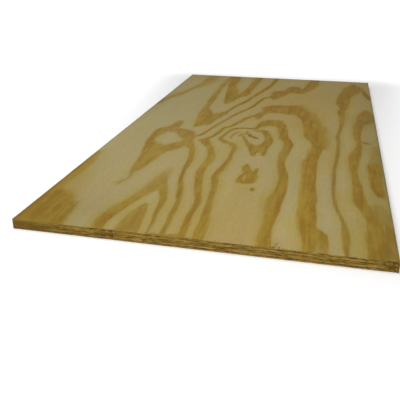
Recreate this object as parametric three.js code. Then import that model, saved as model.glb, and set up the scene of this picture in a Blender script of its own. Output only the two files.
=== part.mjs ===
// A plywood sheet: five softwood veneers glued up with their grain crossed, sawn to a 2 x 4 ft panel.
//
// Millimetres, +Z up. The sheet lies flat on its back, and its good face looks up. The origin is on the
// underside, at the middle of the sheet. Y runs along the length, and X across the width. The grain of
// the face, the core and the back runs along Y; the grain of the two crossbands runs along X.

import * as THREE from 'three';
import { ConvexGeometry } from 'three/addons/geometries/ConvexGeometry.js';

// --- Driving dimensions -------------------------------------------------------------------------

const PANEL_WIDTH = 610; // across the face grain
const PANEL_LENGTH = 1220; // along the face grain

// A balanced lay-up: the plies above the core have the thickness of their partners below it.
const OUTER_VENEER_THICKNESS = 3.6; // the face and the back
const CROSSBAND_THICKNESS = 3.6; // the two plies laid across the length
const CORE_THICKNESS = 3.6; // the ply in the middle

// The saw and handling break the sharp arris all round the face and the back.
const ARRIS_EASE = 0.5;

// --- Finishes -----------------------------------------------------------------------------------

// Pine peeled with a knife. The two crossbands are the duller veneers, which only show at the edges.
const longGrainPine = new THREE.MeshStandardMaterial({
  name: 'long_grain_pine',
  color: 0xb49d68,
  roughness: 0.65,
  metalness: 0,
});
const crossGrainPine = new THREE.MeshStandardMaterial({
  name: 'cross_grain_pine',
  color: 0x9c814c,
  roughness: 0.7,
  metalness: 0,
});

// --- Shapes -------------------------------------------------------------------------------------

/** The corners of a rectangle centred on the Z axis, at height z. */
function rectangleCorners(width, length, z) {
  const corners = [];
  for (const [sideX, sideY] of [[-1, -1], [1, -1], [1, 1], [-1, 1]]) {
    corners.push(new THREE.Vector3((sideX * width) / 2, (sideY * length) / 2, z));
  }
  return corners;
}

/**
 * An outside veneer, glued face at z = 0 and show face at z = thickness, with the arris between the
 * show face and the sawn edges taken off at 45 degrees.
 */
function outsideVeneerGeometry(width, length, thickness, arris) {
  const ease = Math.min(arris, thickness / 2);
  return new ConvexGeometry([
    ...rectangleCorners(width, length, 0),
    ...rectangleCorners(width, length, thickness - ease),
    ...rectangleCorners(width - 2 * ease, length - 2 * ease, thickness),
  ]);
}

/** An inside ply is square on all its edges. Its underside is at z = 0. */
function insidePlyGeometry(width, length, thickness) {
  return new THREE.BoxGeometry(width, length, thickness).translate(0, 0, thickness / 2);
}

// --- Lay-up -------------------------------------------------------------------------------------

const sheet = new THREE.Group();
sheet.name = 'plywood_sheet';

/** Lays a ply on what is already glued up, and returns the height of the top of the stack. */
function layPly(name, geometry, material, thickness, height) {
  const ply = new THREE.Mesh(geometry, material);
  ply.name = name;
  ply.position.z = height;
  sheet.add(ply);
  return height + thickness;
}

// The back veneer is the face veneer turned over, so that its eased arris is on the underside.
const backGeometry = outsideVeneerGeometry(
  PANEL_WIDTH, PANEL_LENGTH, OUTER_VENEER_THICKNESS, ARRIS_EASE,
);
backGeometry.rotateX(Math.PI).translate(0, 0, OUTER_VENEER_THICKNESS);

const crossbandGeometry = insidePlyGeometry(PANEL_WIDTH, PANEL_LENGTH, CROSSBAND_THICKNESS);
const coreGeometry = insidePlyGeometry(PANEL_WIDTH, PANEL_LENGTH, CORE_THICKNESS);
const faceGeometry = outsideVeneerGeometry(
  PANEL_WIDTH, PANEL_LENGTH, OUTER_VENEER_THICKNESS, ARRIS_EASE,
);

// From the floor up.
let height = 0;
height = layPly('back_veneer', backGeometry, longGrainPine, OUTER_VENEER_THICKNESS, height);
height = layPly('lower_crossband', crossbandGeometry, crossGrainPine, CROSSBAND_THICKNESS, height);
height = layPly('core_veneer', coreGeometry, longGrainPine, CORE_THICKNESS, height);
height = layPly('upper_crossband', crossbandGeometry, crossGrainPine, CROSSBAND_THICKNESS, height);
layPly('face_veneer', faceGeometry, longGrainPine, OUTER_VENEER_THICKNESS, height);

export default sheet;
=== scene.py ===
import math

import bpy
import numpy as np
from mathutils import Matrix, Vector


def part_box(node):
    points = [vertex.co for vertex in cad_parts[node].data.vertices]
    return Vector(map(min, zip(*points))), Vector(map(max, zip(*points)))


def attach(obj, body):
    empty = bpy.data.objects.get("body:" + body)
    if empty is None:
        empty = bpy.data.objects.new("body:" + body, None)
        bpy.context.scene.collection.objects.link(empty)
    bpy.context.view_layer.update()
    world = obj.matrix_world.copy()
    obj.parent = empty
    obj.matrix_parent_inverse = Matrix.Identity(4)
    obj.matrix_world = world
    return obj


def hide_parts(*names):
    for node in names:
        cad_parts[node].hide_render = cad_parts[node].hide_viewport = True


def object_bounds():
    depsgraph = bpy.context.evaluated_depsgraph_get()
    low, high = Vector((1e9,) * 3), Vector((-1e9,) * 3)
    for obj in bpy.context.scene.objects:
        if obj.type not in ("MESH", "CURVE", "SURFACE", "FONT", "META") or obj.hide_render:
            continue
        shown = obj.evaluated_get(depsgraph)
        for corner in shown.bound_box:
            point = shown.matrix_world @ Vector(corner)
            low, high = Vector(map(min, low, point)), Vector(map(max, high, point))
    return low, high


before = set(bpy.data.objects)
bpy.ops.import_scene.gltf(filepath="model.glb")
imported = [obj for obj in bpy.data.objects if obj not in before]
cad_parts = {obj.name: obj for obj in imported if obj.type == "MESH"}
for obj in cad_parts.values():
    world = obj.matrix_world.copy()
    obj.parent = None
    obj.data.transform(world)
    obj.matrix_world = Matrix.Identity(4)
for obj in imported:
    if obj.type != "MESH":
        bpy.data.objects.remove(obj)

# A plywood sheet, lying flat on a pale studio floor. Each of the five veneers of the frame is replaced by
# a detailed closed mesh of the same size: the good face carries the pine figure, the sawn edges carry
# end grain or long grain, and thin dark glue lines part the plies.
#
# Lengths in this file are millimetres until a mesh or an object is made. Blender's own are metres.

MM = 0.001
# The frame's veneers, from the bottom up.
PLIES = ["back_veneer", "lower_crossband", "core_veneer", "upper_crossband", "face_veneer"]

cad_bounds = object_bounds()
SHEET_LOW = np.array(cad_bounds[0]) / MM
SHEET_HIGH = np.array(cad_bounds[1]) / MM
WIDTH, LENGTH, THICKNESS = SHEET_HIGH - SHEET_LOW
PLY = THICKNESS / len(PLIES)


# --- Camera and studio ----------------------------------------------------------------------------

def add_object(name, data):
    thing = bpy.data.objects.new(name, data)
    bpy.context.scene.collection.objects.link(thing)
    return thing


def add_camera():
    """The photograph's viewpoint: low, in front of the near end, a little right of the middle."""
    camera = bpy.data.cameras.new("camera")
    camera.lens = 49.91
    camera.sensor_width = 36
    camera.clip_start = 0.01
    body = add_object("camera", camera)
    body.location = (0.18655, -1.33743, 0.41794)
    pitch_down, turn_left = math.radians(24.031), math.radians(13.396)
    body.rotation_euler = (math.radians(90) - pitch_down, 0, turn_left)
    bpy.context.scene.camera = body


def srgb(red, green, blue):
    """A colour given as 0 to 255 sRGB values, as Blender's linear RGBA."""
    def channel(value):
        value /= 255
        return value / 12.92 if value <= 0.04045 else ((value + 0.055) / 1.055) ** 2.4
    return (channel(red), channel(green), channel(blue), 1)


class Graph:
    """A node tree, filled by short calls that return the socket they make."""

    def __init__(self, tree, output_kind):
        self.tree = tree
        self.tree.nodes.clear()
        self.output = self.tree.nodes.new(output_kind)

    def feed(self, socket, value):
        if isinstance(value, bpy.types.NodeSocket):
            self.tree.links.new(value, socket)
        else:
            socket.default_value = value

    def node(self, kind, inputs=(), **settings):
        node = self.tree.nodes.new(kind)
        for name, value in settings.items():
            setattr(node, name, value)
        for key, value in dict(inputs).items():
            self.feed(node.inputs[key], value)
        return node

    def math(self, operation, *values):
        return self.node("ShaderNodeMath", enumerate(values), operation=operation).outputs[0]

    def add(self, a, b):
        return self.math("ADD", a, b)

    def times(self, a, b):
        return self.math("MULTIPLY", a, b)

    def mix_of(self, *parts):
        """The weighted sum of (socket, weight) pairs."""
        total = self.times(*parts[0])
        for value, weight in parts[1:]:
            total = self.add(total, self.times(value, weight))
        return total

    def ramp(self, value, low, high, to_low=0, to_high=1, smooth=True):
        """value carried from low..high to to_low..to_high, and held at the ends."""
        inputs = {"Value": value, "From Min": low, "From Max": high, "To Min": to_low, "To Max": to_high}
        kind = "SMOOTHSTEP" if smooth else "LINEAR"
        return self.node("ShaderNodeMapRange", inputs, interpolation_type=kind).outputs["Result"]

    def blend(self, factor, a, b, how="MIX"):
        """The colour a, blended into b by the factor."""
        inputs = {0: factor, 6: a, 7: b}
        return self.node("ShaderNodeMix", inputs, data_type="RGBA", blend_type=how).outputs[2]

    def shade(self, colour, amount):
        """The colour made lighter or darker by a factor."""
        return self.blend(1, colour, self.join(amount, amount, amount), "MULTIPLY")

    def millimetres(self):
        """The point's place in the sheet's own frame, in millimetres."""
        place = self.node("ShaderNodeTexCoord").outputs["Object"]
        scaled = self.node("ShaderNodeVectorMath", {0: place, 1: (1 / MM,) * 3}, operation="MULTIPLY")
        return scaled.outputs[0]

    def split(self, vector):
        return self.node("ShaderNodeSeparateXYZ", {0: vector}).outputs

    def join(self, x, y, z=0):
        return self.node("ShaderNodeCombineXYZ", {0: x, 1: y, 2: z}).outputs[0]

    def noise(self, place, cell, detail=2, roughness=0.5, seed=0):
        """Noise from 0 to 1 with cells of the given size, in millimetres, along each axis."""
        scaled = self.node("ShaderNodeVectorMath", {0: place, 1: cell}, operation="DIVIDE").outputs[0]
        inputs = {"Vector": scaled, "W": seed, "Scale": 1, "Detail": detail, "Roughness": roughness}
        return self.node("ShaderNodeTexNoise", inputs, noise_dimensions="4D").outputs["Fac"]

    def sway(self, place, cell, reach, seed):
        """Noise from -reach / 2 to reach / 2."""
        return self.times(self.math("SUBTRACT", self.noise(place, cell, 1, seed=seed), 0.5), reach)

    def attribute(self, name):
        return self.node("ShaderNodeAttribute", attribute_name=name).outputs["Fac"]

    def wood(self, colour, roughness, height, bump_mm, gloss):
        """Ends the graph in a dull wood surface."""
        bump = self.node("ShaderNodeBump", {"Strength": 1, "Distance": bump_mm * MM, "Height": height})
        inputs = {"Base Color": colour, "Roughness": roughness, "Specular IOR Level": gloss,
                  "Normal": bump.outputs[0]}
        shader = self.node("ShaderNodeBsdfPrincipled", inputs)
        self.feed(self.output.inputs["Surface"], shader.outputs[0])


def new_material(name):
    material = bpy.data.materials.new(name)
    material.use_nodes = True
    return material, Graph(material.node_tree, "ShaderNodeOutputMaterial")


def background_seen(g):
    """1 for the rays that show the background itself, 0 for those that light the sheet."""
    path = g.node("ShaderNodeLightPath").outputs
    seen = g.math("MAXIMUM", path["Is Camera Ray"], path["Is Glossy Ray"])
    return g.math("MAXIMUM", seen, path["Is Transmission Ray"])


def floor_material():
    """A plain pale floor. To the camera it glows towards white away from the sheet, and keeps the
    sheet's shadow."""
    material, g = new_material("studio_floor")
    seen = background_seen(g)
    x, y, _ = g.split(g.millimetres())
    outside = [g.math("MAXIMUM", g.math("SUBTRACT", g.math("ABSOLUTE", place), half), 0)
               for place, half in ((x, WIDTH / 2), (y, LENGTH / 2))]
    away = g.math("SQRT", g.mix_of(*zip(outside, outside)))
    glow = g.times(g.ramp(away, 0, 350, 0.25, 1), seen)
    colour = g.blend(seen, srgb(205, 205, 203), srgb(240, 240, 240))
    lit = g.node("ShaderNodeBsdfDiffuse", {"Color": colour})
    glowing = g.node("ShaderNodeEmission", {"Color": (1, 1, 1, 1), "Strength": glow})
    both = g.node("ShaderNodeAddShader", {0: lit.outputs[0], 1: glowing.outputs[0]})
    g.feed(g.output.inputs["Surface"], both.outputs[0])
    return material


def add_floor():
    mesh = bpy.data.meshes.new("floor")
    reach, drop = 6, 0.0003  # in metres
    corners = [(reach * x, reach * y, -drop) for x, y in ((-1, -1), (1, -1), (1, 1), (-1, 1))]
    mesh.from_pydata(corners, [], [(0, 1, 2, 3)])
    mesh.materials.append(floor_material())
    floor = add_object("floor", mesh)


def add_world():
    """An even white surround, dimmer as a light than it looks."""
    world = bpy.data.worlds.new("studio")
    world.use_nodes = True
    g = Graph(world.node_tree, "ShaderNodeOutputWorld")
    strength = g.ramp(background_seen(g), 0, 1, 0.3, 1)
    surround = g.node("ShaderNodeBackground", {"Color": (1, 1, 1, 1), "Strength": strength})
    g.feed(g.output.inputs["Surface"], surround.outputs[0])
    bpy.context.scene.world = world


def add_lamp(name, place, aim, size, power):
    """A round soft lamp: its place and the point that it faces in metres, and its power in watts."""
    lamp = bpy.data.lights.new(name, "AREA")
    lamp.shape = "DISK"
    lamp.size = size
    lamp.energy = power
    body = add_object(name, lamp)
    body.location = place
    direction = Vector(aim) - body.location
    body.rotation_euler = direction.to_track_quat("-Z", "Y").to_euler()


def add_lamps():
    """The key hangs over the sheet's near left part, and a weak fill faces the near end."""
    add_lamp("key", place=(-0.38, -0.52, 1.5), aim=(0.05, -0.15, 0), size=1, power=13.6)
    add_lamp("fill", place=(0.1, -2.4, 0.9), aim=(0, -0.6, 0), size=1.2, power=12)


# --- Smooth random values for the meshes ----------------------------------------------------------

def lattice(i, j, seed):
    """A fixed random value from -1 to 1 at each whole-number place."""
    mixed = np.sin(i * 127.1 + j * 311.7 + seed * 74.7) * 43758.5453
    return 2 * (mixed - np.floor(mixed)) - 1


def wander(u, v, seed):
    """Smooth noise from -1 to 1, one cell for each unit of u and v."""
    u, v = np.broadcast_arrays(np.asarray(u, float), np.asarray(v, float))
    i, j = np.floor(u), np.floor(v)
    s, t = u - i, v - j
    s, t = s * s * (3 - 2 * s), t * t * (3 - 2 * t)
    low = lattice(i, j, seed) * (1 - s) + lattice(i + 1, j, seed) * s
    high = lattice(i, j + 1, seed) * (1 - s) + lattice(i + 1, j + 1, seed) * s
    return low * (1 - t) + high * t


def bumps(u, v, seed):
    """The same noise, from 0 to 1."""
    return 0.5 + 0.5 * wander(u, v, seed)


def fade(value, low, high):
    """0 at low, 1 at high, smooth between."""
    t = np.clip((value - low) / (high - low), 0, 1)
    return t * t * (3 - 2 * t)


# --- The figure of the good face ------------------------------------------------------------------

# Latewood bands, drawn as strokes: how dark the band is (1 is plain latewood, and above it the wood is
# deeper still), how far it fades out on the stroke's right-hand side and on its left-hand side, and its
# points. Each point is (x, y, half width), x from the left edge and y from the near end.
BANDS = dict(
    corner_blotch=(0.95, 17, 9, [(46, -12, 46), (41, 28, 41), (41, 45, 42), (41, 58, 41), (35, 76, 35),
        (31.5, 94, 31), (23, 112, 21), (14, 131, 12), (10, 144, 9)]),
    corner_strip=(1, 16, 9, [(10, 100, 12), (6, 130, 14), (5, 160, 13), (6, 240, 14), (8, 305, 9),
        (7, 345, 2)]),
    arch_left_leg=(0.9, 6, 13, [(149.5, -12, 9.3), (148.7, 4, 9.2), (146, 27, 9.8), (147.5, 45, 11.2),
        (154.5, 79, 11.2), (167, 121, 9.3), (173, 141, 9.4)]),
    arch_crown=(0.73, 6, 13, [(173, 141, 9.4), (177.5, 161, 11.5), (183.5, 179, 14), (189, 198, 16),
        (187, 222, 13.5), (187, 249, 8.7), (188, 264, 4.5)]),
    arch_tip=(0.3, 8, 8, [(190, 255, 7), (190, 270, 6), (189, 283, 3)]),
    arch_right_leg=(0.85, 4, 6, [(192, 200, 14), (206, 175, 9), (213, 155, 6.5), (219, 132, 6),
        (222, 110, 5.5), (224, 76, 4.2), (229, 40, 2.8), (230.5, 20, 1.9), (231, -12, 1.7)]),
    arch_core=(0.74, 5, 5, [(198, -12, 20.5), (195, 42, 17), (194.5, 76, 12), (196, 106, 3.5)]),
    second_line=(0.9, 7, 5, [(257.5, -12, 3.6), (254.5, 30, 4.1), (253, 54, 4), (250.3, 75, 3.9),
        (250, 95, 4.4), (249.3, 115, 4), (246, 138, 4), (241.5, 158, 5), (232.5, 203, 5.1),
        (224.8, 230, 3.6), (217.8, 282, 3.7), (215.5, 342, 6.2), (205, 400, 6.3), (200.5, 418, 6.5),
        (191, 437, 9), (181, 455, 13.5)]),
    ring_left=(0.9, 7, 12, [(99, 544, 17.5), (94.5, 529, 15.5), (90.5, 496, 10), (89.3, 470, 8.3),
        (93, 445, 10.3), (102, 425, 15), (112, 412, 19)]),
    ring_foot=(0.85, 5, 10, [(118, 405, 26), (123, 383, 27), (123, 360, 22), (123, 335, 19),
        (121.5, 277, 11.5), (120, 260, 7), (119, 247, 4)]),
    ring_tail=(0.6, 8, 8, [(119, 247, 4), (122.5, 228, 3), (121.5, 212, 2.6), (118, 200, 2.2),
        (113, 189, 1.5)]),
    ring_link=(0.85, 10, 8, [(134, 402, 25), (148, 412, 20), (161, 432, 17), (174, 452, 14)]),
    ring_right=(0.8, 7, 10, [(177, 457, 13), (176, 480, 13), (167, 505, 17), (158.5, 526, 20.5),
        (145, 540, 17.5), (128, 546, 14.5), (108, 547, 15.5), (97, 543, 15.5)]),
    ring_top=(0.8, 7, 9, [(112, 561, 16.5), (116, 580, 13.5), (119, 614, 8.5), (119, 623, 6)]),
    near_smudge=(0.8, 4, 4, [(236, -1, 4), (265, 1, 5), (278, 2, 5.5), (288, 1, 4.5), (297, -1, 3)]),
    third_line=(0.88, 7, 5, [(287.5, -12, 5.6), (286.3, 10, 6.2), (284, 45, 6), (280.8, 82, 5.1),
        (282, 103, 4.8), (282, 123, 5.1), (279.8, 144, 5.4), (275.5, 166, 5.9), (269.5, 189, 6.6),
        (255, 262, 7.5), (252.3, 290, 7.8), (252.8, 320, 7.3), (255, 351, 8.9), (253.5, 378, 8.2),
        (239, 430, 7), (226, 457, 10), (214, 482, 11)]),
    fourth_line=(0.83, 8, 5, [(314.5, -12, 8.5), (313, 14, 8.5), (311.5, 32, 9), (311, 50, 9),
        (309.5, 68, 8), (306.5, 88, 7), (301, 150, 5.1), (298.8, 172, 4.9), (298, 195, 5.4),
        (293.3, 225, 6.1), (286.3, 255, 6.5), (287.5, 285, 6.3), (291, 315, 6.2), (295, 372, 3.9),
        (292.7, 400, 3.8), (293, 435, 6), (288, 455, 7), (278, 470, 7), (265, 480, 7)]),
    swirl_tail=(0.9, 5, 5, [(265, 480, 7), (249, 500, 4.5), (251, 527, 3), (258, 568, 3), (265, 584, 4)]),
    swirl_rim=(1.1, 3, 3, [(265, 586, 4.5), (274, 594, 5), (291, 599, 5), (303, 599, 5), (317, 604, 5),
        (322, 617, 5)]),
    swirl_inner=(0.7, 3, 3, [(285, 569, 1.5), (279, 560, 2.2), (274, 547, 2.5), (271, 530, 2.2),
        (271, 512, 2)]),
    swirl_pith=(0.8, 3, 3, [(286, 530, 2), (290, 543, 2.8), (295, 552, 3.2), (302, 556, 3.5),
        (309, 552, 4)]),
    swirl_mark=(0.5, 4, 4, [(301, 573, 3), (302, 565, 3)]),
    swirl_top=(0.6, 4, 4, [(327, 583, 2), (328, 575, 2)]),
    knot_eye=(1.05, 4, 3, [(306, 556, 3), (317, 536, 6), (331, 525, 5)]),
    blob_body=(0.95, 4, 4, [(337, 342, 3), (337, 328, 7.5), (340, 314, 9), (346, 302, 9.5), (353.5, 290, 11),
        (356.5, 275, 11), (355.5, 260, 10), (352, 250, 9.5), (345, 246, 7), (337, 246, 5.5)]),
    blob_left=(0.85, 4, 4, [(340, 290, 3.5), (336.5, 280, 4), (334.5, 264, 4.5), (336, 250, 6)]),
    blob_right=(0.9, 5, 4, [(361, 320, 3.5), (360, 308, 4), (359, 298, 5)]),
    blob_corner=(0.8, 4, 4, [(359, 266, 8), (358.5, 250, 6.5)]),
    blob_drop=(1, 5, 5, [(365.5, 216, 4), (367, 212, 4)]),
    vee_right=(0.95, 6, 5, [(318, 585, 2), (326, 586, 3.5), (336, 588, 4.5), (341, 584, 7), (346, 572, 8.5),
        (359, 527, 9), (361, 503, 10), (359, 484, 11), (356, 468, 11), (356, 450, 10), (361, 420, 5.5),
        (361, 408, 2.5)]),
    vee_left=(0.9, 4, 5, [(296, 537, 1.5), (310, 496, 2.7), (317, 480, 5), (326, 465, 9), (334, 447, 11),
        (337, 428, 9), (339, 402, 4)]),
    vee_fill=(0.85, 6, 6, [(345, 466, 10), (346, 448, 10), (347, 431, 6)]),
    inner_arch_top=(1.08, 10, 4, [(352, 660, 23), (371, 648, 16), (379, 630, 12.5), (386, 600, 10),
        (393, 544, 11), (403.4, 519, 9.4), (409.2, 490, 10.5), (407.7, 458, 9.1), (404.5, 427, 10.5)]),
    inner_arch_right=(0.93, 10, 4, [(404.5, 427, 10.5), (403.5, 395, 8.6), (405.7, 358, 7), (415, 302, 9.1),
        (418.2, 275, 8.9), (418.3, 223, 11.2), (413.2, 177, 14), (412, 155, 13.4), (413.3, 133, 12.3),
        (412.8, 93, 9.5), (411.5, 56, 9.6), (413.3, 22, 10.4), (415.7, 8, 10.8), (417, -12, 10.6)]),
    inner_arch_left=(1, 6, 9, [(352, 660, 23), (340, 655, 18), (332, 643, 13), (321, 615, 5),
        (318, 600, 4)]),
    inner_arch_crown=(1, 8, 8, [(340, 667, 15), (362, 672, 16)]),
    outer_arch_right=(0.95, 9, 20, [(405, 845, 14), (400, 822, 24), (408, 800, 28), (418, 778, 29),
        (431, 757, 27), (446, 712, 23), (452.7, 672, 23.5), (462, 630, 27), (464, 580, 26), (468, 555, 24),
        (472, 538, 20), (476, 518, 17), (477, 498, 15)]),
    outer_arch_leg=(0.95, 13, 5, [(477, 498, 15), (471.5, 470, 13.2), (466.5, 415, 12.7), (462.7, 392, 15),
        (462, 365, 16), (465.2, 280, 13.9), (467.2, 225, 15.6), (468.7, 190, 15.6), (468.7, 168, 14.8),
        (471.3, 127, 16.4), (473, 90, 15.2), (475.7, 75, 15), (481, 63, 18), (487.3, 52, 20.4),
        (489, 40, 20)]),
    outer_foot_left=(0.95, 6, 5, [(489, 40, 20), (483, 22, 12), (481, 8, 9), (480, -12, 8)]),
    outer_foot_right=(0.9, 6, 6, [(489, 40, 20), (500, 24, 10), (502.3, 10, 6.5), (504, -12, 5.5)]),
    outer_foot_fill=(0.45, 4, 4, [(494, 30, 6), (494, 5, 6)]),
    outer_arch_top=(1, 8, 6, [(348, 800, 40), (370, 805, 43), (388, 797, 42)]),
    outer_arch_left=(0.9, 8, 6, [(350, 800, 28), (335, 785, 20), (325, 770, 14), (318, 750, 10),
        (312, 730, 9), (310, 710, 8), (311, 695, 5)]),
    knot_line_1=(0.95, 4, 4, [(313, 752, 9), (306, 730, 8), (287, 703, 6), (279, 685, 6), (256, 613, 5),
        (249, 600, 5), (241, 591, 4.5), (238, 575, 4), (231, 531, 4.5), (222, 504, 5.5), (217, 491, 7),
        (210, 481, 9)]),
    knot_line_2=(1.12, 3, 3, [(316, 985, 3), (316, 960, 3), (315, 938, 5), (303, 930, 5), (297, 912, 5),
        (287, 865, 4), (279, 815, 4), (273, 795, 4.5)]),
    knot_line_2_middle=(0.92, 3, 3, [(273, 795, 4.5), (258, 758, 5), (246, 718, 4), (239, 700, 4)]),
    knot_line_2_tail=(0.75, 3, 3, [(239, 700, 4), (231, 662, 4), (226, 645, 4.5), (216, 605, 4),
        (202, 540, 4)]),
    knot_line_2_end=(0.9, 3, 3, [(202, 540, 4), (198, 523, 5), (191, 512, 5.5), (183, 503, 5)]),
    knot_line_3=(1.2, 4, 4, [(306, 1230, 7), (303, 1160, 6), (300, 1135, 6), (299, 1110, 5),
        (289, 1050, 7.5), (284, 1030, 6), (279, 1005, 5.5), (270, 965, 7), (266, 940, 5), (260, 920, 4),
        (252, 872, 5), (238, 830, 6), (231, 808, 4), (222, 760, 3), (216, 740, 5), (208, 725, 7)]),
    flame_right=(1.1, 7, 12, [(212, 885, 4), (217, 922, 9), (231, 955, 14), (234, 983, 12),
        (239.5, 1078, 9.5), (245, 1230, 13)]),
    flame_left=(1.1, 12, 6, [(196, 838, 5), (199, 880, 15), (193, 960, 19), (173, 1070, 13),
        (168, 1140, 13.5), (165, 1230, 14)]),
    long_line=(0.9, 6, 5, [(147, 1230, 6), (143, 1060, 7), (144, 1030, 6.5), (149, 860, 9), (152, 810, 7),
        (151, 785, 7.5), (161, 735, 15), (165, 712, 19), (172, 692, 22), (176, 670, 24), (176, 650, 23),
        (176, 630, 20), (166, 588, 4)]),
    long_line_foot=(0.85, 11, 5, [(217, 738, 6), (212, 718, 10), (200, 705, 16), (198, 685, 15),
        (193, 665, 13), (193, 623, 6.5), (189, 607, 3.5)]),
    far_left_band=(0.72, 10, 12, [(85, 1230, 20), (84, 1125, 19), (80, 1075, 16), (72, 1050, 14),
        (63, 1025, 9), (56, 1000, 7), (44, 950, 9), (38, 925, 12), (30, 900, 13), (16, 858, 8), (10, 835, 7),
        (9, 815, 6), (5, 795, 4)]),
    right_line=(0.85, 7, 6, [(537, -12, 2.5), (536.5, 6, 3), (535.5, 20, 4), (535.5, 46, 5.5),
        (534.5, 68, 5.5), (531.5, 107, 3.2), (523.5, 145, 2.8), (516, 188, 3), (512, 255, 3),
        (512.5, 297, 3.6), (512, 352, 3.4), (516.5, 413, 3.5), (519.5, 517, 3.6), (517.5, 578, 4.4),
        (522, 638, 3.4), (526, 702, 5), (526, 765, 7)]),
    right_line_far=(1.1, 8, 6, [(526, 765, 7), (523, 795, 9), (524, 820, 9), (529, 845, 9), (530, 870, 13)]),
    right_rust=(1.35, 12, 12, [(524, 905, 5), (525, 950, 9), (530, 1010, 11), (540, 1050, 7)]),
    right_flame=(1.1, 10, 8, [(530, 870, 12), (527, 900, 17), (528, 930, 18), (533, 990, 19),
        (539, 1020, 21), (548, 1050, 24), (557, 1105, 26), (562, 1130, 20), (561, 1175, 4)]),
    right_edge_foot=(0.9, 7, 15, [(586, -12, 22), (583, 60, 18), (583, 90, 15), (579, 120, 11)]),
    right_edge_tick=(0.9, 4, 4, [(566, 549, 4.5), (575, 546.5, 5.5), (586, 541, 3)]),
    right_edge_band=(0.9, 7, 9, [(579, 120, 11), (574, 150, 10.5), (567.5, 177, 11.5), (562.3, 191, 12),
        (558.5, 211, 11.7), (557, 233, 10.6), (556, 256, 8.2), (556, 280, 8), (553, 305, 7),
        (551.7, 333, 6.8), (549.8, 360, 8.3), (549.5, 390, 9.9), (551.3, 420, 11.3), (555.7, 455, 11.8),
        (559, 480, 9.8), (564, 503, 7.2), (565.7, 522, 6), (565, 550, 6.3), (563, 566, 7), (562, 605, 8.5),
        (564, 648, 10), (568, 690, 11), (575, 712, 14), (585, 735, 22), (587, 760, 22), (588, 785, 20),
        (590, 830, 9), (590, 842, 4)]),
    right_haze=(0.45, 8, 8, [(588, 185, 8), (592, 165, 12), (595, 140, 12), (595, 118, 8)]),
    right_rim_near=(0.75, 8, 8, [(600, 115, 3), (600, 100, 7), (601, 82, 9), (601, 60, 10), (600, 30, 9),
        (600, -12, 9)]),
    right_rim_mid=(1, 8, 7, [(596, 236, 7), (595, 250, 8.8), (592, 268, 10), (591, 290, 11),
        (592, 370, 13.8), (592.3, 398, 12.8), (596, 420, 7)]),
    right_rim_top=(0.45, 7, 7, [(595, 410, 11), (599, 485, 8), (600, 515, 4)]),
    right_rim_far=(1.15, 6, 6, [(581, 1131, 5), (596, 1028, 7), (605, 975, 5)]),
    far_band=(1.15, 9, 8, [(395, 1024, 18), (404, 1046, 15), (420, 1082, 15), (430, 1145, 17),
        (437, 1230, 13)]),
    far_blob=(1.15, 8, 8, [(356, 1008, 10), (366, 1030, 16), (374, 1058, 21), (376, 1078, 20),
        (378, 1084, 17)]),
    far_tongue=(1.15, 8, 6, [(326, 915, 3), (328, 930, 9), (335, 975, 20), (338, 998, 24), (342, 1010, 20)]),
)

STROKE_STEP = 7  # spacing of the straight pieces that a stroke is measured from
PLAIN_FADE = 5  # the fade at which a band's distance is in true millimetres
FIGURE_REACH = 24  # how far from a band its distance is still measured
SLIM = (6, 3)  # the half widths from which, and below which, a band is drawn as a thin line
SMOOTHINGS = 12  # how often a band's darkness is evened out with its neighbours'
TINY = 1e-6  # keeps a division clear of zero


def smooth_stroke(points):
    """The stroke's points joined by a Catmull-Rom curve, as closely spaced points."""
    given = np.array(points, float)
    ends = np.vstack([2 * given[0] - given[1], given, 2 * given[-1] - given[-2]])
    out = []
    for before, start, end, after in zip(ends, ends[1:], ends[2:], ends[3:]):
        count = max(1, math.ceil(np.hypot(*(end - start)[:2]) / STROKE_STEP))
        t = (np.arange(count) / count)[:, None]
        out.append(0.5 * (2 * start + (end - before) * t
                          + (2 * before - 5 * start + 4 * end - after) * t ** 2
                          + (3 * start - before - 3 * end + after) * t ** 3))
    out.append(given[-1:])
    return np.vstack(out)


def smoothed(grid):
    """The grid with each value drawn towards its neighbours'."""
    for _ in range(SMOOTHINGS):
        wide = np.pad(grid, 1, mode="edge")
        grid = (wide[:-2, 1:-1] + wide[2:, 1:-1] + wide[1:-1, :-2] + wide[1:-1, 2:] + grid) / 5
    return grid


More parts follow.
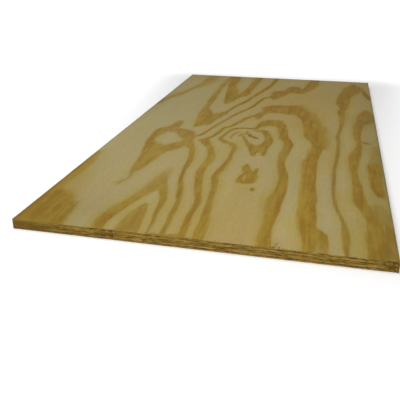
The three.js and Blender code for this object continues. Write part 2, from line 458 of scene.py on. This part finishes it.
def band_figure(bands, xs, ys):
    """On the grid of xs by ys: the distance to the nearest band's edge, negative inside it, that band's
    darkness, the place across it, from -1 at its softer edge to 1 at its crisper edge, and how slim it
    is, from 0 to 1. Beside an edge that fades out slowly, the distance grows slowly."""
    distance = np.full((len(ys), len(xs)), float(FIGURE_REACH))
    marks = np.zeros((3, len(ys), len(xs)))
    for dark, fade_right, fade_left, points in bands.values():
        stroke = smooth_stroke(points)
        for (ax, ay, aw), (bx, by, bw) in zip(stroke, stroke[1:]):
            reach = max(aw, bw) + FIGURE_REACH * max(fade_right, fade_left) / PLAIN_FADE
            columns = slice(*np.searchsorted(xs, [min(ax, bx) - reach, max(ax, bx) + reach]))
            rows = slice(*np.searchsorted(ys, [min(ay, by) - reach, max(ay, by) + reach]))
            px, py = np.meshgrid(xs[columns] - ax, ys[rows] - ay)
            dx, dy = bx - ax, by - ay
            span = math.hypot(dx, dy) + TINY
            t = np.clip((px * dx + py * dy) / span ** 2, 0, 1)
            half = aw + t * (bw - aw)
            side = np.clip((px * dy - py * dx) / span / np.maximum(half, 1), -1, 1)
            fade_here = fade_left + (fade_right - fade_left) * (side + 1) / 2
            here = (np.hypot(px - t * dx, py - t * dy) - half) * PLAIN_FADE / fade_here
            nearer = here < distance[rows, columns]
            distance[rows, columns][nearer] = here[nearer]
            crisper = np.clip((fade_left - fade_right) / 3, -1, 1) * side
            for mark, value in zip(marks, (dark + 0 * half, crisper, fade(half, *SLIM))):
                mark[rows, columns][nearer] = value[nearer]
    return [distance] + [smoothed(mark) for mark in marks]


# Slow changes over the good face, each spreading softly from its middle: middle x and y, half width, half
# length and amount. CASTS says how golden (above 0) or how pale and cool (below 0) the wood is there, and
# SHADES how much lighter or darker it is. RIPENESS says how golden the latewood is.
CASTS = [
    (50, 700, 170, 560, -0.8), (380, 930, 190, 260, 0.6), (424, 660, 30, 62, 0.75), (335, 50, 120, 120, 0.5),
    (190, 590, 55, 80, 0.5), (440, 220, 26, 230, -0.5), (507, 260, 22, 100, -0.4), (28, 140, 30, 90, 0.7),
    (400, 450, 40, 90, -0.5), (505, 60, 25, 90, -0.6), (390, 1130, 70, 80, -0.6), (216, 1100, 18, 50, -0.8),
    (341, 278, 10, 30, 1), (500, 400, 16, 90, 0.5), (56, 155, 16, 36, 0.5), (524, 212, 9, 34, 0.8),
    (238, 655, 18, 40, 0.35), (101, 480, 10, 30, 0.5), (602, 95, 12, 45, 0.6),
]
RIPENESS = [
    (400, 1000, 190, 220, 0.7), (440, 700, 60, 160, 0.5), (560, 450, 50, 700, 0.7),
    (560, 1050, 60, 120, 0.4), (158, 80, 24, 60, 0.6), (475, 540, 30, 60, 0.5), (309, 60, 20, 60, 0.6),
    (556, 1080, 40, 60, 0.4), (530, 990, 25, 60, 0.3),
]
# Partly painted shade: the dark strip along the right edge stands in part for the lamps' falloff, and the
# thin dark rims along both long edges in part for shaded arrises.
SHADES = [
    (614, 400, 50, 900, -0.21), (575, 710, 30, 60, -0.12), (104, 80, 60, 120, -0.1),
    (30, 180, 34, 120, -0.12), (455, 150, 26, 190, 0.08), (8, 830, 16, 90, -0.16),
    (150, 1050, 220, 150, 0.06), (505, 480, 24, 200, -0.04), (410, 30, 150, 100, 0.07),
    (60, 50, 45, 45, -0.05), (590, 545, 18, 50, -0.06), (526, 755, 16, 50, -0.07), (478, 530, 22, 30, -0.05),
    (12, 10, 18, 18, -0.08), (432, 18, 12, 22, -0.05), (309, 60, 12, 50, -0.05), (246, 9, 7, 9, -0.05),
    (536, 790, 14, 60, -0.05), (500, 1000, 110, 180, -0.025), (318, 195, 14, 60, 0.05),
    (0, 610, 3.5, 3000, -0.25), (0, 180, 6, 130, -0.12), (0, 770, 6, 110, -0.15), (0, 1060, 7, 110, -0.15),
    (437, 15, 9, 8, -0.06), (558, 1082, 28, 55, -0.06), (391, 592, 12, 25, -0.05), (184, 50, 16, 22, -0.05),
    (260, 13, 12, 14, 0.05), (135, 257, 14, 30, -0.04), (610, 610, 3.5, 3000, -0.25),
]


def soft_patches(patches, x, y):
    """The sum of the patches' amounts at each place."""
    total = np.zeros(x.shape)
    for middle_x, middle_y, half_x, half_y, amount in patches:
        spread = ((x - middle_x) / half_x) ** 2 + ((y - middle_y) / half_y) ** 2
        total += amount * np.exp(-spread)
    return total


def good_face_figure(xs, ys):
    """The drawn bands and the slow changes of tint and shade."""
    x, y = np.meshgrid(xs, ys)
    distance, darkness, crispness, slimness = band_figure(BANDS, xs, ys)
    return {"band_edge": distance, "band_dark": darkness, "band_crisp": crispness, "band_slim": slimness,
            "cast": np.clip(soft_patches(CASTS, x, y), -1, 1), "shade": 1 + soft_patches(SHADES, x, y),
            "ripe": np.clip(soft_patches(RIPENESS, x, y), 0, 1)}


# The hidden back: the rings of a gently rolling surface, each dark towards its outer side.
RING = 34  # mean width of a ring
LATE_SHARE = 0.68  # where in a ring the latewood starts
ROLLS = [(1.7, 210, 620, 31), (0.9, 90, 260, 32), (0.22, 30, 75, 33)]  # reach in rings, cell and seed
HILL = (0.62 * WIDTH, 0.4 * LENGTH, 150, 420, 5)  # as the patches above, with its height in rings
LEAST_SLOPE = 0.004  # in rings per millimetre


def plain_figure(xs, ys):
    """A generic cathedral figure."""
    x, y = np.meshgrid(xs, ys)
    rolling = x / RING + soft_patches([HILL], x, y)
    for reach, cell_x, cell_y, seed in ROLLS:
        rolling += reach * wander(x / cell_x, y / cell_y, seed)
    slope_y, slope_x = np.gradient(rolling, ys, xs)
    slope = np.hypot(slope_x, slope_y) + LEAST_SLOPE
    part = rolling - np.floor(rolling)
    inside = np.minimum((part - LATE_SHARE) * 0.5, 1 - part)
    outside = np.minimum((LATE_SHARE - part) * 0.5, part)
    distance = np.where(part > LATE_SHARE, -inside, outside) / slope
    crispness = np.clip((part - LATE_SHARE) / (1 - LATE_SHARE), 0, 1) * 2 - 1
    darkness = 0.8 + 0.15 * wander(np.floor(rolling) * 1.7, 0.5, 34)
    return {"band_edge": np.clip(distance, -FIGURE_REACH, FIGURE_REACH), "band_dark": darkness,
            "band_crisp": crispness, "band_slim": 0 * x, "cast": wander(x / 130, y / 340, 35),
            "shade": 1 + 0.03 * wander(x / 110, y / 260, 36), "ripe": 0.5 + 0 * x}


# --- Veneers as closed meshes ---------------------------------------------------------------------

NEAR_LINES = (0, 0.5, 1.2, 2.2, 3.6, 5.4, 7.6, 10.2, 13.2)  # grid lines beside every sawn edge
SPLINTERED_SPAN = (422, 512)  # where along x the grid is twice as close, for the splinters' sake
ROW_SHARES = (0, 0.07, 0.24, 0.42, 0.6, 0.77, 0.93, 1)  # heights of the wall rows in a ply
FAN_ROWS = 120  # how many rim points of each side the fan at an end of a glued face takes in
FAN_MIDDLE = 140  # how far the fan's middle lies from the end
PULLED = 8  # how far in the face's points follow the roughness of the sawn edge
GLUE_GROOVE = 0.25  # how far an edge is drawn in at a glue line
GROOVE_HEIGHT = 0.3  # how far above and below the glue line that reaches
ARRIS = 0.4  # how far the outside arrises are broken
DEEPEST_NICK = 1.4  # the most that a splinter takes off the top arris
ROW_GAP = 0.2  # the least height between two rows of a wall beside a broken arris
CALM_CORNER = 4  # how far from a corner the sawn edge is still smoother
CORNER_SHARE = 0.15  # how much of its roughness is left at the corner itself
FACE_STEPS = (2.4, 5)  # spacing of an outside veneer's grid along x and y
EDGE_STEPS = (2.4, 3.2)  # the same for the veneers that only show their edges
SHARP = math.radians(35)  # the angle from which an edge shows as an arris


def halfway(lines):
    """The places halfway between neighbouring lines."""
    return (lines[1:] + lines[:-1]) / 2


def graded_lines(length, step):
    """Grid lines over a length: evenly spaced, and closer together beside both ends."""
    start = NEAR_LINES[-1]
    count = round((length - 2 * start) / step)
    middle = np.linspace(start, length - start, count + 1)
    return np.concatenate([NEAR_LINES[:-1], middle, length - np.array(NEAR_LINES[-2::-1])])


# Where the near end is torn rather than cut: middle, half width and strength, along x.
TORN_NEAR = [(172, 22, 0.45), (173, 5, 1), (160, 5, 0.8), (312, 7, 0.3), (602, 11, 1)]

# Splinters gone from the good face beside its near end, each a lens-shaped hollow: its middle x and y,
# half width, half length, how far its far tip leans to the right, and its depth. NICKS are the ones in
# the arris itself: middle x, half width, half length and depth.
SPLINTERS = [(433, 13, 2.4, 3.4, 0, 0.35), (430, 3, 3.6, 5, 2, 0.55), (438, 3, 2.6, 4.6, 1, 0.4)]
NICK_Y = -0.5  # their middle y
NICKS = [(426, 5, 2.4, 0.8), (446, 5.5, 2.4, 0.9), (457, 4, 2, 0.8), (470, 5, 2, 0.8), (484, 4, 1.8, 0.7),
         (497, 5, 2.2, 0.8), (509, 4, 2, 0.8), (343, 6, 2.4, 0.8), (328, 5, 1.8, 0.6), (306, 5, 2.2, 0.8),
         (384, 9, 1.6, 0.6), (402, 7, 2, 0.8), (128, 8, 1.8, 0.6), (262, 6, 2, 0.6), (547, 7, 2.2, 0.7),
         (73, 7, 1.8, 0.5)]
SPLINTERS += [(x, NICK_Y, half_x, half_y, 0, depth) for x, half_x, half_y, depth in NICKS]


def torn(x, y):
    """From 0 to 1, how torn the sawn edge is at each rim point."""
    near = np.isclose(y, 0)
    amount = np.zeros(len(x))
    for middle, half, strength in TORN_NEAR:
        amount = np.maximum(amount, near * strength * fade(half - np.abs(x - middle), -2, half * 0.6))
    stretches = fade(wander(y / 90, x / 90, 52), 0, 1)
    spots = fade(wander((x + 2.3 * y) / 33, 0.3, 51), 0.62, 0.95)
    return np.where(near, amount, spots * stretches)


def chips(x, y):
    """How deep the face is broken away at each point."""
    depth = np.zeros(np.shape(x))
    for middle_x, middle_y, half_x, half_y, lean, deep in SPLINTERS:
        up = (y - middle_y) / half_y
        across = (x - middle_x - lean * up) / half_x
        depth = np.maximum(depth, deep * np.sqrt(np.clip(1 - up ** 2 - across ** 2, 0, 1)))
    return depth


class Veneer:
    """One ply as a closed mesh: walls down its sawn edges, a face above and a face below. The grain runs
    along Y when long_grain is true, and along X otherwise. x and y count from the sheet's near left
    corner, and z from the ply's underside."""

    def __init__(self, node, step_x, step_y):
        low, high = (np.array(corner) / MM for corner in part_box(node))
        self.node = node
        self.low = low
        self.thickness = high[2] - low[2]
        self.seed = PLIES.index(node) + 1
        self.is_top = node == PLIES[-1]
        self.is_bottom = node == PLIES[0]
        self.long_grain = "crossband" not in node
        self.xs = graded_lines(high[0] - low[0], step_x)
        self.ys = graded_lines(high[1] - low[1], step_y)
        if self.is_top:
            between = halfway(self.xs)
            close = (between > SPLINTERED_SPAN[0]) & (between < SPLINTERED_SPAN[1])
            self.xs = np.sort(np.append(self.xs, between[close]))
        self.points = []
        self.faces = []
        self.kinds = []
        self.torn = []
        self.glue = []
        self.lay_rim()

    def lay_rim(self):
        """The rim's points: each grid line's end, and one more halfway to the next."""
        near_x, near_y = (np.sort(np.append(lines, halfway(lines))) for lines in (self.xs, self.ys))
        zero_x, zero_y = np.zeros(len(near_x) - 1), np.zeros(len(near_y) - 1)
        self.rim_x = np.concatenate([near_x[:-1], zero_y + WIDTH, near_x[:0:-1], zero_y])
        self.rim_y = np.concatenate([zero_x, near_y[:-1], zero_x + LENGTH, near_y[:0:-1]])
        left, right = np.isclose(self.rim_x, 0), np.isclose(self.rim_x, WIDTH)
        near, far = np.isclose(self.rim_y, 0), np.isclose(self.rim_y, LENGTH)
        self.inward = np.stack([left * 1 - right, near * 1 - far], 1)
        self.along = np.where(left | right, self.rim_y, self.rim_x)
        self.cut_across = (left | right) != self.long_grain
        self.rim_torn = torn(self.rim_x, self.rim_y)
        from_side = np.minimum(self.rim_x, WIDTH - self.rim_x)
        from_end = np.minimum(self.rim_y, LENGTH - self.rim_y)
        self.off_corner = fade(np.hypot(from_side, from_end), 0, CALM_CORNER)

    def sides(self, ring):
        """A ring's points along the near end, the right side, the far end and the left side, each counted
        from the left or from the near end."""
        columns, rows = 2 * len(self.xs) - 2, 2 * len(self.ys) - 2
        around = ring + np.append(np.arange(2 * (columns + rows)), 0)
        near, right = around[:columns + 1], around[columns:columns + rows + 1]
        far, left = around[columns + rows:2 * columns + rows + 1], around[2 * columns + rows:]
        return near, right, far[::-1], left[::-1]

    def edge_depth(self, share):
        """How far the sawn edge lies inside the sheet's outline at one height. Across the fibres the cut
        is rough, and along them it is streaky."""
        height = self.low[2] + share * self.thickness
        rough = bumps(self.along / 3.1, height / 1.1, self.seed)
        streaky = bumps(self.along / 38, height / 1.2, 20)
        ridges = bumps(self.along / 5.3, height / 5, 22)
        depth = np.where(self.cut_across, 0.22 * rough + 0.1 * streaky, 0.05 * rough + 0.3 * streaky)
        depth += 0.03 + 0.1 * bumps(self.along / 31, 0, 7)
        depth += self.rim_torn * (0.15 + 0.55 * ridges) + self.groove(share)
        return depth * (CORNER_SHARE + (1 - CORNER_SHARE) * self.off_corner)

    def groove(self, share):
        """How far the glue lines below and above draw the edge in at one height."""
        from_below = math.exp(-(share * self.thickness / GROOVE_HEIGHT) ** 2) * (not self.is_bottom)
        from_above = math.exp(-((1 - share) * self.thickness / GROOVE_HEIGHT) ** 2) * (not self.is_top)
        return GLUE_GROOVE * max(from_below, from_above)

    def add_points(self, x, y, z, torn_here=0, glue_here=0):
        start = sum(len(part) for part in self.points)
        self.points.append(np.column_stack([x, y, z]))
        self.torn.append(np.broadcast_to(torn_here, len(x)))
        self.glue.append(np.full(len(x), glue_here))
        return start

    def add_faces(self, faces, kind, up):
        """Adds faces that were laid to be seen from above, and turns them over when up is false."""
        self.faces += faces if up else [face[::-1] for face in faces]
        self.kinds += [kind] * len(faces)

    def add_walls(self):
        starts = []
        for share in ROW_SHARES:
            inset = self.inward * self.edge_depth(share)[:, None]
            x, y = self.rim_x + inset[:, 0], self.rim_y + inset[:, 1]
            z = np.full(len(x), share * self.thickness)
            if share == 1 and self.is_top:
                z -= self.arris_drop(1) + np.minimum(chips(self.rim_x, self.rim_y), DEEPEST_NICK)
            if share == 0 and self.is_bottom:
                z += self.arris_drop(2)
            glued = (share == 1 and not self.is_top) or (share == 0 and not self.is_bottom)
            starts.append(self.add_points(x, y, z, self.rim_torn, float(glued)))
        self.part_rows()
        around = np.arange(len(self.rim_x))
        after = np.roll(around, -1)
        on_side = np.isclose(self.rim_x, self.rim_x[after])
        kinds = np.where(on_side != self.long_grain, "end", "side").tolist()
        for lower, upper in zip(starts, starts[1:]):
            quads = [lower + around, lower + after, upper + after, upper + around]
            self.faces += np.column_stack(quads).tolist()
            self.kinds += kinds
        self.bottom_ring, self.top_ring = starts[0], starts[-1]

    def arris_drop(self, seed):
        return ARRIS + 0.1 * wander(self.along / 9, seed, 3)

    def part_rows(self):
        """Keeps the rows beside a broken arris in their order."""
        heights = [row[:, 2] for row in self.points]
        for k in (1, 2, 3):
            np.minimum(heights[-1 - k], heights[-1] - k * ROW_GAP, out=heights[-1 - k])
        for k in (1, 2):
            np.maximum(heights[k], heights[0] + k * ROW_GAP, out=heights[k])

    def add_plain_face(self, ring, up):
        """A glued face that is never seen: strips from side to side, and a fan of triangles at each end."""
        near, right, far, left = (side.tolist() for side in self.sides(ring))
        first, last = FAN_ROWS, len(left) - 1 - FAN_ROWS
        faces = [(left[k], right[k], right[k + 1], left[k + 1]) for k in range(first, last)]
        near_end = left[first:0:-1] + near + right[1:first + 1]
        far_end = right[last:-1] + far[::-1] + left[-2:last - 1:-1]
        for loop, y in ((near_end, FAN_MIDDLE), (far_end, LENGTH - FAN_MIDDLE)):
            middle = self.add_points([WIDTH / 2], [y], [self.thickness if up else 0])
            faces += [(middle, a, b) for a, b in zip(loop, loop[1:] + loop[:1])]
        self.add_faces(faces, "glued", up)

    def clear_of_rim(self, ring):
        """The places of the grid's inner points, moved in a little where the sawn edge is drawn in."""
        places = np.vstack(self.points)
        near, right, far, left = (places[side[::2]] for side in self.sides(ring))
        x, y = np.meshgrid(self.xs, self.ys)

        def pull(distance):
            return np.clip(1 - distance / PULLED, 0, 1)

        moved_x = x + left[:, :1] * pull(x) - (WIDTH - right[:, :1]) * pull(WIDTH - x)
        moved_y = y + near[:, 1] * pull(y) - (LENGTH - far[:, 1]) * pull(LENGTH - y)
        return moved_x[1:-1, 1:-1].ravel(), moved_y[1:-1, 1:-1].ravel()

    def add_shown_face(self, ring, up, relief):
        """An outside face: a grid of points, joined to the rim with its twice as close points."""
        nx, ny = len(self.xs), len(self.ys)
        x, y = self.clear_of_rim(ring)
        drop, broken = relief(x, y)
        start = self.add_points(x, y, self.thickness - drop if up else drop, broken)
        near, right, far, left = (side.tolist() for side in self.sides(ring))

        def point(i, j):
            """The point at column i and row j of the grid, where a half means a rim point between."""
            if j in (0, ny - 1):
                return (far if j else near)[int(2 * i)]
            if i in (0, nx - 1):
                return (right if i else left)[int(2 * j)]
            return start + (j - 1) * (nx - 2) + (i - 1)

        inner = start + np.arange((nx - 2) * (ny - 2)).reshape(ny - 2, nx - 2)
        quads = np.stack([inner[:-1, :-1], inner[:-1, 1:], inner[1:, 1:], inner[1:, :-1]], -1)
        faces = quads.reshape(-1, 4).tolist()
        border = [(i, j) for j in (0, ny - 2) for i in range(nx - 1)]
        border += [(i, j) for j in range(1, ny - 2) for i in (0, nx - 2)]
        for i, j in border:
            face = [point(i, j)]
            face += [point(i + 0.5, j)] * (j == 0) + [point(i + 1, j)]
            face += [point(i + 1, j + 0.5)] * (i == nx - 2) + [point(i + 1, j + 1)]
            face += [point(i + 0.5, j + 1)] * (j == ny - 2) + [point(i, j + 1)]
            face += [point(i, j + 0.5)] * (i == 0)
            faces.append(face)
        self.add_faces(faces, "face", up)

    def set_figure(self, mesh, figure):
        """Gives every point of the mesh the figure's values at its place."""
        values = figure(self.xs, self.ys)
        slope_y, slope_x = np.gradient(values["band_edge"], self.ys, self.xs)
        values["band_across"] = np.abs(slope_y) / (np.hypot(slope_x, slope_y) + TINY)
        places = np.vstack(self.points)
        for name, grid in values.items():
            set_attribute(mesh, name, sample_grid(self.xs, self.ys, grid, places))

    def make_mesh(self):
        mesh = bpy.data.meshes.new(self.node + "_wood")
        places = (np.vstack(self.points) + self.low) * MM
        mesh.from_pydata(places.tolist(), [], self.faces)
        set_attribute(mesh, "torn", np.concatenate(self.torn))
        set_attribute(mesh, "glue_line", np.concatenate(self.glue))
        return mesh


def sample_grid(xs, ys, values, places):
    """The grid's values at the places, by bilinear reading."""
    i = np.clip(np.searchsorted(xs, places[:, 0]) - 1, 0, len(xs) - 2)
    j = np.clip(np.searchsorted(ys, places[:, 1]) - 1, 0, len(ys) - 2)
    s = np.clip((places[:, 0] - xs[i]) / (xs[i + 1] - xs[i]), 0, 1)
    t = np.clip((places[:, 1] - ys[j]) / (ys[j + 1] - ys[j]), 0, 1)
    low = values[j, i] * (1 - s) + values[j, i + 1] * s
    high = values[j + 1, i] * (1 - s) + values[j + 1, i + 1] * s
    return low * (1 - t) + high * t


def set_attribute(mesh, name, values):
    attribute = mesh.attributes.new(name, "FLOAT", "POINT")
    attribute.data.foreach_set("value", np.ascontiguousarray(values, np.float32))


# --- Wood materials -------------------------------------------------------------------------------

# The wood's colours. Those in plain numbers are factors, which tint another colour.
EARLY_PALE = srgb(173, 154, 104)
EARLY_YELLOW = srgb(168, 149, 84)
EARLY_WARM = srgb(172, 144, 78)
EARLY_COOL = srgb(168, 156, 112)
LATE_GOLD = srgb(156, 127, 45)
LATE_BROWN = srgb(135, 103, 22)
LATE_DARK = srgb(112, 82, 14)
RESIN = srgb(158, 106, 32)
LINE_OLIVE = srgb(120, 98, 36)
DEEPER = (0.8, 0.74, 0.48, 1)
RIPE = (1, 0.98, 0.72, 1)
BLUER = (1, 1, 1.12, 1)
GREENISH = (0.98, 1.008, 0.985, 1)
PINKISH = (1.02, 0.99, 1.005, 1)
# The splinter hollows' tone, partly painted shade.
SPLINTER_TONE_AND_SHADE = srgb(112, 90, 42)
SIDE_LIGHT = srgb(192, 159, 78)
SIDE_DARK = srgb(130, 99, 34)
END_LIGHT = srgb(172, 138, 60)
END_DARK = srgb(98, 72, 18)
FLECK = srgb(204, 172, 98)
# Painted shade in the cracks and open seams of the sawn edges.
CRACK_AND_SEAM_SHADE = srgb(62, 42, 10)
TORN_RED = srgb(98, 66, 20)
GLUE = srgb(74, 50, 16)
# Painted shade on the sawn edge at the near left corner: the lower plies' tone and the top ply's.
CORNER_SHADE = srgb(118, 90, 30)
CORNER_SHADE_TOP_PLY = srgb(158, 130, 60)


def face_wood():
    """Rotary-cut pine, its latewood laid out by the mesh's figure."""
    material, g = new_material("pine_face")
    place = g.millimetres()
    x, y, z = g.split(place)
    along = g.join(g.add(x, g.sway(place, (70, 170, 60), 10, 9)), y, z)
    fibre = g.noise(along, (0.9, 45, 4), 3, 0.6, seed=1)
    streak = g.noise(along, (3, 120, 8), 3, 0.6, seed=2)
    stripe = g.noise(along, (12, 170, 20), 2, 0.5, seed=16)
    cloud = g.noise(place, (75, 150, 60), 2, 0.5, seed=3)
    patch = g.noise(place, (17, 40, 30), 3, 0.55, seed=5)
    mottle = g.noise(place, (5, 13, 10), 3, 0.6, seed=18)
    tinge = g.noise(place, (8, 26, 20), 2, 0.6, seed=15)

    across = g.attribute("band_across")
    ragged = g.math("SUBTRACT", g.noise(along, (1.6, 42, 4), 4, 0.65, seed=4), 0.5)
    drawn = g.add(g.attribute("band_edge"), g.times(ragged, g.ramp(across, 0.15, 1, 8, 18)))
    softness = g.ramp(across, 0.15, 1, 1, 2.2)
    latewood = g.ramp(drawn, g.times(softness, 2.6), g.times(softness, -1.8))
    halo = g.ramp(drawn, 11, 1)

    yellow = g.ramp(g.mix_of((halo, 0.35), (cloud, 1)), 0.42, 0.85)
    early = g.blend(yellow, EARLY_PALE, EARLY_YELLOW)
    cast = g.attribute("cast")
    early = g.blend(g.ramp(cast, 0, 1, smooth=False), early, EARLY_WARM)
    early = g.blend(g.ramp(cast, 0, -1, smooth=False), early, EARLY_COOL)
    striped = g.mix_of((stripe, 0.6), (streak, 0.4))
    early = g.shade(early, g.ramp(striped, 0.35, 0.65, 1.025, 0.97, smooth=False))
    brown = g.mix_of((patch, 0.45), (stripe, 0.35), (streak, 0.2), (g.attribute("band_crisp"), 0.035))
    late = g.blend(g.ramp(brown, 0.38, 0.62), LATE_GOLD, LATE_BROWN)
    late = g.blend(g.ramp(g.mix_of((fibre, 0.5), (streak, 0.5)), 0.5, 0.75, 0, 0.3), late, LATE_DARK)
    late = g.blend(g.ramp(patch, 0.54, 0.7, 0, 0.35), late, RESIN)
    late = g.blend(g.attribute("ripe"), late, RIPE, "MULTIPLY")
    late = g.blend(g.ramp(mottle, 0.5, 0.65), late, BLUER, "MULTIPLY")
    late = g.blend(g.times(g.attribute("band_slim"), 0.5), late, LINE_OLIVE)
    depth = g.times(latewood, g.attribute("band_dark"))
    late = g.blend(g.ramp(depth, 1, 1.4), late, DEEPER, "MULTIPLY")
    wood = g.blend(depth, early, late)
    for texture, at_low, at_high in ((fibre, 1.03, 0.97), (mottle, 1.05, 0.95), (cloud, 0.98, 1.02)):
        wood = g.shade(wood, g.ramp(texture, 0.3, 0.7, at_low, at_high, smooth=False))
    # The SHADES patches, in part painted shade along the right edge and the long rims.
    wood = g.shade(wood, g.attribute("shade"))
    wood = g.blend(1, wood, g.blend(g.ramp(tinge, 0.35, 0.65), GREENISH, PINKISH), "MULTIPLY")
    # Splinter hollows: partly the torn fibres' own darker tone, partly painted shade in the hollows.
    splinter_shade = g.times(g.attribute("torn"), g.ramp(fibre, 0.35, 0.65, 0.55, 0.9))
    wood = g.blend(splinter_shade, wood, SPLINTER_TONE_AND_SHADE)
    height = g.mix_of((latewood, 0.4), (fibre, 0.6))
    roughness = g.ramp(latewood, 0, 1, 0.8, 0.65, smooth=False)
    g.wood(wood, roughness, height, bump_mm=0.15, gloss=0.07)
    return material


def seam_shade_and_glue(g, along, height):
    """Dashes along the glue lines, where the plies don't quite meet: partly painted shade in the gaps,
    partly dark glue.
    """
    plies_up = g.times(height, 1 / PLY)
    seam = g.math("ROUND", plies_up)
    away = g.times(g.math("ABSOLUTE", g.math("SUBTRACT", plies_up, seam)), PLY)
    dashes = g.noise(g.join(along, g.times(seam, 40)), (15, 1, 1), 2, 0.6, seed=19)
    return g.times(g.ramp(away, 0.9, 0.3), g.ramp(dashes, 0.47, 0.6, 0, 0.75))


def corner_painted_shade(g, wood, place, height):
    """Painted shade: the sawn edge's colour, evened out and darker at the near left corner: dull, but for
    its top ply.
    """
    corner = (-WIDTH / 2, -LENGTH / 2, 0)
    away = g.node("ShaderNodeVectorMath", {0: place, 1: corner}, operation="DISTANCE").outputs["Value"]
    tone = g.blend(g.ramp(height, THICKNESS - PLY - 0.8, THICKNESS - PLY + 0.6), CORNER_SHADE, CORNER_SHADE_TOP_PLY)
    return g.blend(g.ramp(away, 150, 20, 0, 0.7), wood, tone)


def sawn_edge(name, light, dark, streak_length, grit_share):
    """A sawn edge of a ply: streaks that follow the edge, with painted shade in cracks and open seams,
    flecks and torn places.
    """
    material, g = new_material(name)
    place = g.millimetres()
    x, y, z = g.split(place)
    along = g.add(x, y)
    around = g.join(along, z)
    wavy = g.add(g.sway(around, (42, 12, 1), 2.2, 5), g.sway(around, (13, 5, 1), 1.6, 17))
    layered = g.join(along, g.add(z, wavy))
    streak = g.noise(layered, (streak_length, 1.8, 1), 3, 0.6, seed=6)
    broad = g.noise(layered, (streak_length * 1.6, 2.4, 1), 1, 0.5, seed=7)
    grit = g.noise(around, (1.2, 0.8, 1), 3, 0.65, seed=8)
    tone = g.mix_of((streak, 0.7 - grit_share), (broad, 0.3), (grit, grit_share))
    wood = g.blend(g.ramp(tone, 0.42, 0.56), dark, light)
    flecks = g.noise(layered, (15, 1.2, 1), 2, seed=11)
    wood = g.blend(g.ramp(flecks, 0.55, 0.67, 0, 0.8), wood, FLECK)
    # Painted shade: fine dark cracks along the grain.
    crack_shade_mask = g.noise(layered, (12, 1, 1), 2, seed=12)
    wood = g.blend(g.ramp(crack_shade_mask, 0.58, 0.68, 0, 0.8), wood, CRACK_AND_SEAM_SHADE)
    wood = g.blend(seam_shade_and_glue(g, along, g.add(z, g.times(wavy, 0.25))), wood, CRACK_AND_SEAM_SHADE)
    # Painted shade: darker towards both ends along x, for the lamps' falloff, so the long side edges are
    # darker throughout.
    wood = g.shade(wood, g.ramp(g.math("ABSOLUTE", x), 180, 300, 1.02, 0.93))
    wood = corner_painted_shade(g, wood, place, g.add(z, g.times(wavy, 0.4)))
    stripes = g.noise(around, (2.6, 5, 1), 3, 0.6, seed=13)
    torn_wood = g.blend(g.ramp(stripes, 0.46, 0.66), TORN_RED, light)
    wood = g.blend(g.times(g.attribute("torn"), 0.85), wood, torn_wood)
    wood = g.blend(g.ramp(g.attribute("glue_line"), 0.35, 0.95, 0, 0.8), wood, GLUE)
    g.wood(wood, 0.85, g.mix_of((tone, 1), (stripes, 0.5)), bump_mm=0.35, gloss=0.12)
    return material


def glued_face():
    """The inside faces, which only show when the plies are parted."""
    material, g = new_material("glued_face")
    stain = g.noise(g.millimetres(), (14, 14, 14), 3, 0.6, seed=14)
    g.wood(g.blend(stain, END_DARK, GLUE), 0.8, stain, bump_mm=0.1, gloss=0.15)
    return material


# --- The five plies -------------------------------------------------------------------------------

def good_face_relief(x, y):
    """How deep the face lies at each point, and how far it is broken into splinters there, which darkens it
    partly with painted shade in the hollows.
    """
    gone = chips(x, y)
    return 0.02 + 0.04 * bumps(x / 9, y / 90, 11) + gone, fade(gone, 0.05, 0.4)


def back_relief(x, y):
    """The same for the back, which has no splinters gone."""
    return 0.02 + 0.06 * bumps(x / 9, y / 90, 12), 0


def add_piece(veneer, mesh, materials):
    order = list(materials)
    for material in materials.values():
        mesh.materials.append(material)
    mesh.polygons.foreach_set("material_index", [order.index(kind) for kind in veneer.kinds])
    mesh.polygons.foreach_set("use_smooth", [True] * len(veneer.kinds))
    mesh.update()
    mesh.set_sharp_from_angle(angle=SHARP)
    piece = add_object(veneer.node + "_wood", mesh)
    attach(piece, "root")
    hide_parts(veneer.node)


def add_plies():
    face = face_wood()
    end = sawn_edge("pine_end_grain", END_LIGHT, END_DARK, streak_length=14, grit_share=0.3)
    side = sawn_edge("pine_side_grain", SIDE_LIGHT, SIDE_DARK, streak_length=34, grit_share=0.15)
    glued = glued_face()
    for node in PLIES:
        outside = node in (PLIES[0], PLIES[-1])
        veneer = Veneer(node, *(FACE_STEPS if outside else EDGE_STEPS))
        veneer.add_walls()
        for ring, up, shown, relief in ((veneer.top_ring, True, veneer.is_top, good_face_relief),
                                        (veneer.bottom_ring, False, veneer.is_bottom, back_relief)):
            if shown:
                veneer.add_shown_face(ring, up, relief)
            else:
                veneer.add_plain_face(ring, up)
        mesh = veneer.make_mesh()
        materials = {"end": end, "side": side, "glued": glued}
        if outside:
            veneer.set_figure(mesh, good_face_figure if veneer.is_top else plain_figure)
            materials["face"] = face
        add_piece(veneer, mesh, materials)


add_camera()
add_world()
add_floor()
add_lamps()
add_plies()

bpy.context.scene.view_settings.view_transform = "Standard"
